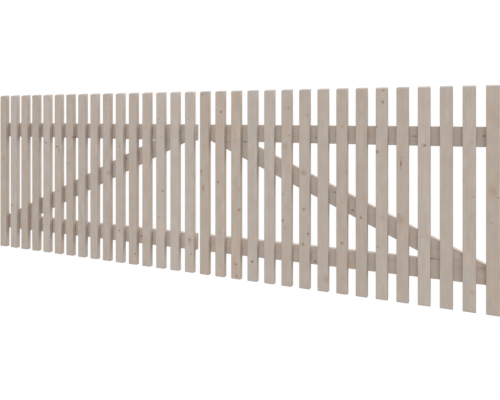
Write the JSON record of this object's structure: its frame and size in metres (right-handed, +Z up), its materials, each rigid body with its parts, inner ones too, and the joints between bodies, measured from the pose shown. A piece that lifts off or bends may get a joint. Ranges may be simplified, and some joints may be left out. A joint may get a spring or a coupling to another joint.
{
  "type": "double picket gate",
  "caption": "Double wooden picket gate with diagonally braced leaves, hung on strap hinges over pintles on plates for the posts.",
  "frame": {"origin": "level with the pickets' feet, in the middle of the gate's width and depth with both leaves closed", "axes": "+X along the gate to the right seen from the pickets' fronts, +Y through it to the back, the side with the rails and the way both leaves open, +Z up"},
  "size_m": [3.066, 0.0876, 1],
  "materials": {
    "picket_wood": "sawn softwood with a thin grey-brown stain",
    "frame_wood": "sawn softwood with a thin grey-brown stain, a little darker",
    "galvanised_steel": "hot-dip galvanised, dull",
    "zinc_screw": "zinc plated"
  },
  "bodies": {
    "post_hinges": {"left_upper_pintle": "galvanised_steel", "left_lower_pintle": "galvanised_steel", "right_upper_pintle": "galvanised_steel", "right_lower_pintle": "galvanised_steel"},
    "left_leaf": {"left_picket_01": "picket_wood", "left_picket_02": "picket_wood", "left_picket_03": "picket_wood", "left_picket_04": "picket_wood", "left_picket_05": "picket_wood", "left_picket_06": "picket_wood", "left_picket_07": "picket_wood", "left_picket_08": "picket_wood", "left_picket_09": "picket_wood", "left_picket_10": "picket_wood", "left_picket_11": "picket_wood", "left_picket_12": "picket_wood", "left_picket_13": "picket_wood", "left_picket_14": "picket_wood", "left_picket_15": "picket_wood", "left_picket_16": "picket_wood", "left_brace": "frame_wood", "left_upper_rail": "frame_wood", "left_upper_strap": "galvanised_steel", "left_upper_strap_screw_1": "zinc_screw", "left_upper_strap_screw_2": "zinc_screw", "left_upper_strap_screw_3": "zinc_screw", "left_lower_rail": "frame_wood", "left_lower_strap": "galvanised_steel", "left_lower_strap_screw_1": "zinc_screw", "left_lower_strap_screw_2": "zinc_screw", "left_lower_strap_screw_3": "zinc_screw"},
    "right_leaf": {"right_picket_01": "picket_wood", "right_picket_02": "picket_wood", "right_picket_03": "picket_wood", "right_picket_04": "picket_wood", "right_picket_05": "picket_wood", "right_picket_06": "picket_wood", "right_picket_07": "picket_wood", "right_picket_08": "picket_wood", "right_picket_09": "picket_wood", "right_picket_10": "picket_wood", "right_picket_11": "picket_wood", "right_picket_12": "picket_wood", "right_picket_13": "picket_wood", "right_picket_14": "picket_wood", "right_picket_15": "picket_wood", "right_picket_16": "picket_wood", "right_brace": "frame_wood", "right_upper_rail": "frame_wood", "right_upper_strap": "galvanised_steel", "right_upper_strap_screw_1": "zinc_screw", "right_upper_strap_screw_2": "zinc_screw", "right_upper_strap_screw_3": "zinc_screw", "right_lower_rail": "frame_wood", "right_lower_strap": "galvanised_steel", "right_lower_strap_screw_1": "zinc_screw", "right_lower_strap_screw_2": "zinc_screw", "right_lower_strap_screw_3": "zinc_screw"}
  },
  "joints": [
    {"name": "left_swing", "type": "hinge", "parent": "post_hinges", "child": "left_leaf", "pos_m": [-1.514, 0.0238, 0], "axis": [0, 0, 1], "range_deg": [0, 100]},
    {"name": "right_swing", "type": "hinge", "parent": "post_hinges", "child": "right_leaf", "pos_m": [1.514, 0.0238, 0], "axis": [0, 0, -1], "range_deg": [0, 100]}
  ]
}
